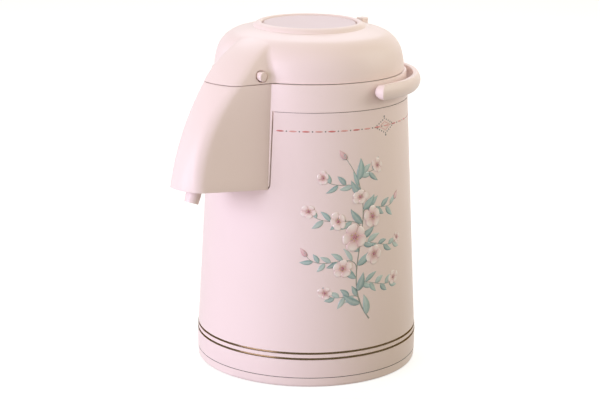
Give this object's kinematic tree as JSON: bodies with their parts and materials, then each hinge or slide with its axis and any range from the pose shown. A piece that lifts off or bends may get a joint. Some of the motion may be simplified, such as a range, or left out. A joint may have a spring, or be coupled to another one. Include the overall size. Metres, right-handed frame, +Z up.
{
  "type": "pump pot",
  "caption": "Vacuum pump pot with a tapered sleeve, hooded spout, hinged domed lid with a round push plate, and a half-ring carrying handle that swings up.",
  "frame": {"origin": "on the pot's axis, in the plane of the base ring's foot", "axes": "+Z up, the spout points to -Y, the lid's hinge is at +Y, +X is the side nearer the camera in the picture"},
  "size_m": [0.1714, 0.2246, 0.2643],
  "materials": {
    "shell_paint": "smooth pale ivory enamel",
    "case_plastic": "pale ivory moulded plastic, soft gloss",
    "plate_plastic": "pale lilac-grey moulded plastic",
    "inner_plastic": "natural white polypropylene",
    "seal_rubber": "grey-white silicone",
    "liner_glass": "silvered double glass wall",
    "steel": "plain steel wire and pins"
  },
  "bodies": {
    "pot": {"base_ring": "case_plastic", "bottom_cap": "case_plastic", "liner_cushion": "seal_rubber", "glass_jacket": "liner_glass", "glass_flask": "liner_glass", "flask_neck": "liner_glass", "mouth_seal": "seal_rubber", "outer_shell": "shell_paint", "shoulder": "case_plastic", "spout_cover": "case_plastic", "nozzle": "case_plastic", "spout_pipe": "inner_plastic", "pipe_seal": "seal_rubber", "dip_pipe": "inner_plastic", "hinge_pin": "steel", "handle_pivots": "steel"},
    "lid": {"lid_shell": "case_plastic", "lid_plate": "inner_plastic", "lid_seal": "seal_rubber", "air_valve": "seal_rubber", "plate_screws": "steel", "bellows": "seal_rubber", "bellows_spring": "steel", "left_button_spring": "steel", "right_button_spring": "steel"},
    "pump": {"push_plate": "plate_plastic", "bellows_cap": "inner_plastic"},
    "lock": {"lock_slider": "case_plastic"},
    "carrier": {"handle": "case_plastic"},
    "button_right": {"right_button": "case_plastic"},
    "button_left": {"left_button": "case_plastic"}
  },
  "joints": [
    {"name": "lid_hinge", "type": "hinge", "parent": "pot", "child": "lid", "pos_m": [0, 0.0726, 0.232], "axis": [-1, 0, 0], "range_deg": [0, 90]},
    {"name": "handle_swing", "type": "hinge", "parent": "pot", "child": "carrier", "pos_m": [0, -0.0068, 0.22095], "axis": [1, 0, 0], "range_deg": [0, 90]},
    {"name": "pump_stroke", "type": "slide", "parent": "lid", "child": "pump", "axis": [0, 0, -1], "range_m": [0, 0.018], "stiffness_N_per_m": 600, "deforming": ["bellows", "bellows_spring"]},
    {"name": "lock_slide", "type": "slide", "parent": "lid", "child": "lock", "axis": [0, -1, 0], "range_m": [0, 0.005]},
    {"name": "right_press", "type": "slide", "parent": "lid", "child": "button_right", "axis": [-1, 0, 0], "range_m": [0, 0.0025], "stiffness_N_per_m": 800, "deforming": ["right_button_spring"]},
    {"name": "left_press", "type": "slide", "parent": "lid", "child": "button_left", "axis": [1, 0, 0], "range_m": [0, 0.0025], "stiffness_N_per_m": 800, "deforming": ["left_button_spring"]}
  ]
}
